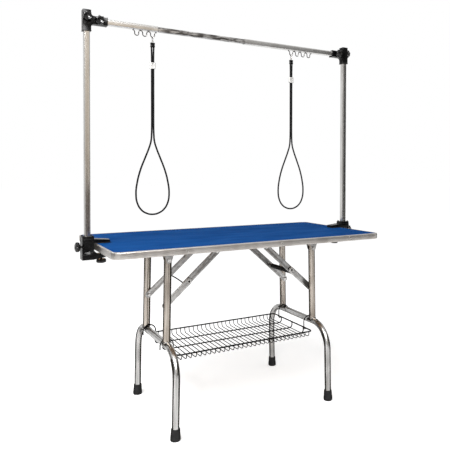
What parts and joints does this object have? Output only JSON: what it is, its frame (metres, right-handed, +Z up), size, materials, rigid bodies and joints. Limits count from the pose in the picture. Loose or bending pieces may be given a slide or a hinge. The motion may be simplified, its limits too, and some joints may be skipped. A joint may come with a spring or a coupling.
{
  "type": "folding grooming table",
  "caption": "Folding pet grooming table with a rubber-topped board, braced folding legs, a hung wire tray and a clamped overhead arm carrying noose loops.",
  "frame": {"origin": "on the floor under the middle of the table top", "axes": "+Z up, +X along the table towards the longer bar's end, +Y towards the rear"},
  "size_m": [1.3, 0.6128, 1.604],
  "materials": {
    "blue_rubber": "matt, finely ribbed",
    "board_wood": "plain plywood",
    "trim_metal": "satin",
    "leg_steel": "polished, a little dull",
    "brace_steel": "satin",
    "bright_metal": "bright plated",
    "black_rubber": "matt",
    "black_wire": "black powder coat",
    "black_plastic": "moulded, half gloss",
    "knob_plastic": "moulded, half gloss",
    "dark_steel": "blackened",
    "arm_steel": "polished, a little dull",
    "light_plastic": "moulded",
    "black_cord": "braided"
  },
  "bodies": {
    "table": {"table_board": "board_wood", "rubber_mat": "blue_rubber", "edge_trim": "trim_metal", "trim_rivets": "bright_metal", "leg_brackets": "brace_steel", "leg_pins": "bright_metal", "brace_brackets": "brace_steel", "brace_rivets": "bright_metal", "bracket_screws": "bright_metal", "left_clamp_body": "black_plastic", "right_clamp_body": "black_plastic", "jaw_pads": "black_rubber", "clamp_bolts": "dark_steel"},
    "left_leg": {"left_uprights": "leg_steel", "left_leg_arch": "leg_steel", "left_feet": "black_rubber", "left_tray_hooks": "black_wire", "left_leg_rivets": "bright_metal"},
    "left_upper_brace": {"left_upper_links": "brace_steel", "left_release_wire": "black_wire"},
    "left_lower_brace": {"left_lower_links": "brace_steel", "left_link_rivets": "bright_metal"},
    "right_leg": {"right_uprights": "leg_steel", "right_leg_arch": "leg_steel", "right_feet": "black_rubber", "right_tray_hooks": "black_wire", "right_leg_rivets": "bright_metal"},
    "right_upper_brace": {"right_upper_links": "brace_steel", "right_release_bar": "brace_steel", "right_release_grip": "black_rubber"},
    "right_lower_brace": {"right_lower_links": "brace_steel", "right_link_rivets": "bright_metal"},
    "tray": {"tray_rim": "black_wire", "tray_cross_wires": "black_wire"},
    "arm": {"left_pole": "arm_steel", "right_pole": "arm_steel", "left_elbow": "black_plastic", "right_elbow": "black_plastic", "left_bar": "arm_steel", "middle_bar": "arm_steel", "right_bar": "arm_steel", "left_hook_rail": "bright_metal", "right_hook_rail": "bright_metal"},
    "left_pole_knob": {"left_pole_knob": "knob_plastic"},
    "left_bar_knob": {"left_bar_knob": "knob_plastic"},
    "right_pole_knob": {"right_pole_knob": "knob_plastic"},
    "right_bar_knob": {"right_bar_knob": "knob_plastic"},
    "left_clamp_knob": {"left_clamp_knob": "knob_plastic"},
    "right_clamp_knob": {"right_clamp_knob": "knob_plastic"},
    "left_pressure_pad": {"left_pressure_pad": "black_rubber"},
    "left_clamp_screw": {"left_clamp_screw": "knob_plastic"},
    "right_pressure_pad": {"right_pressure_pad": "black_rubber"},
    "right_clamp_screw": {"right_clamp_screw": "knob_plastic"},
    "left_noose": {"left_noose_cord": "black_cord", "left_noose_snap": "bright_metal"},
    "left_slider": {"left_noose_slider": "light_plastic"},
    "right_noose": {"right_noose_cord": "black_cord", "right_noose_snap": "bright_metal"},
    "right_slider": {"right_noose_slider": "light_plastic"}
  },
  "joints": [
    {"name": "left_leg_fold", "type": "hinge", "parent": "table", "child": "left_leg", "pos_m": [-0.334, 0, 0.651], "axis": [0, -1, 0], "range_deg": [0, 90]},
    {"name": "left_upper_brace_swing", "type": "hinge", "parent": "table", "child": "left_upper_brace", "pos_m": [-0.117, 0, 0.665], "axis": [0, -1, 0], "range_deg": [-40, 0]},
    {"name": "left_lower_brace_swing", "type": "hinge", "parent": "left_leg", "child": "left_lower_brace", "pos_m": [-0.33716, 0, 0.47003], "axis": [0, -1, 0], "range_deg": [0, 46]},
    {"name": "right_leg_fold", "type": "hinge", "parent": "table", "child": "right_leg", "pos_m": [0.334, 0, 0.651], "axis": [0, 1, 0], "range_deg": [0, 78]},
    {"name": "right_upper_brace_swing", "type": "hinge", "parent": "table", "child": "right_upper_brace", "pos_m": [0.117, 0, 0.665], "axis": [0, 1, 0], "range_deg": [-40, 0]},
    {"name": "right_lower_brace_swing", "type": "hinge", "parent": "right_leg", "child": "right_lower_brace", "pos_m": [0.33716, 0, 0.47003], "axis": [0, 1, 0], "range_deg": [0, 46]},
    {"name": "tray_lift", "type": "slide", "parent": "table", "child": "tray", "axis": [0, 0, 1], "range_m": [0, 0.025]},
    {"name": "arm_height", "type": "slide", "parent": "table", "child": "arm", "axis": [0, 0, 1], "range_m": [-0.08, 0.04]},
    {"name": "left_pole_knob_turn", "type": "hinge", "parent": "arm", "child": "left_pole_knob", "pos_m": [-0.6065, -0.023, 1.577], "axis": [0, 1, 0], "continuous": true},
    {"name": "left_bar_knob_turn", "type": "hinge", "parent": "arm", "child": "left_bar_knob", "pos_m": [-0.5615, -0.023, 1.567], "axis": [0, 1, 0], "continuous": true},
    {"name": "right_pole_knob_turn", "type": "hinge", "parent": "arm", "child": "right_pole_knob", "pos_m": [0.6297, 0, 1.577], "axis": [1, 0, 0], "continuous": true},
    {"name": "right_bar_knob_turn", "type": "hinge", "parent": "arm", "child": "right_bar_knob", "pos_m": [0.5615, -0.023, 1.567], "axis": [0, 1, 0], "continuous": true},
    {"name": "left_clamp_knob_turn", "type": "hinge", "parent": "table", "child": "left_clamp_knob", "pos_m": [-0.642, 0, 0.7075], "axis": [1, 0, 0], "continuous": true},
    {"name": "right_clamp_knob_turn", "type": "hinge", "parent": "table", "child": "right_clamp_knob", "pos_m": [0.642, 0, 0.7075], "axis": [1, 0, 0], "continuous": true},
    {"name": "left_pad_press", "type": "slide", "parent": "table", "child": "left_pressure_pad", "axis": [0, 0, 1], "range_m": [-0.012, 0]},
    {"name": "left_screw_turn", "type": "hinge", "parent": "left_pressure_pad", "child": "left_clamp_screw", "pos_m": [-0.556, 0, 0.66], "axis": [0, 0, -1], "range_deg": [0, 1445]},
    {"name": "right_pad_press", "type": "slide", "parent": "table", "child": "right_pressure_pad", "axis": [0, 0, 1], "range_m": [-0.012, 0]},
    {"name": "right_screw_turn", "type": "hinge", "parent": "right_pressure_pad", "child": "right_clamp_screw", "pos_m": [0.556, 0, 0.66], "axis": [0, 0, -1], "range_deg": [0, 1445]},
    {"name": "left_noose_swing", "type": "hinge", "parent": "arm", "child": "left_noose", "pos_m": [-0.352, 0, 1.54175], "axis": [0, -1, 0], "range_deg": [-12, 20]},
    {"name": "left_slider_slide", "type": "slide", "parent": "left_noose", "child": "left_slider", "axis": [0, 0, 1], "range_m": [-0.24, 0.03]},
    {"name": "right_noose_swing", "type": "hinge", "parent": "arm", "child": "right_noose", "pos_m": [0.303, 0, 1.54175], "axis": [0, -1, 0], "range_deg": [-20, 12]},
    {"name": "right_slider_slide", "type": "slide", "parent": "right_noose", "child": "right_slider", "axis": [0, 0, 1], "range_m": [-0.24, 0.03]}
  ],
  "couplings": [
    {"joint": "left_upper_brace_swing", "follows": "left_leg_fold", "ratio": -0.42449},
    {"joint": "left_lower_brace_swing", "follows": "left_leg_fold", "ratio": 0.50111},
    {"joint": "right_upper_brace_swing", "follows": "right_leg_fold", "ratio": -0.45442},
    {"joint": "right_lower_brace_swing", "follows": "right_leg_fold", "ratio": 0.56027},
    {"joint": "left_screw_turn", "follows": "left_pad_press", "rad_per_m": -2094.4},
    {"joint": "right_screw_turn", "follows": "right_pad_press", "rad_per_m": -2094.4}
  ]
}
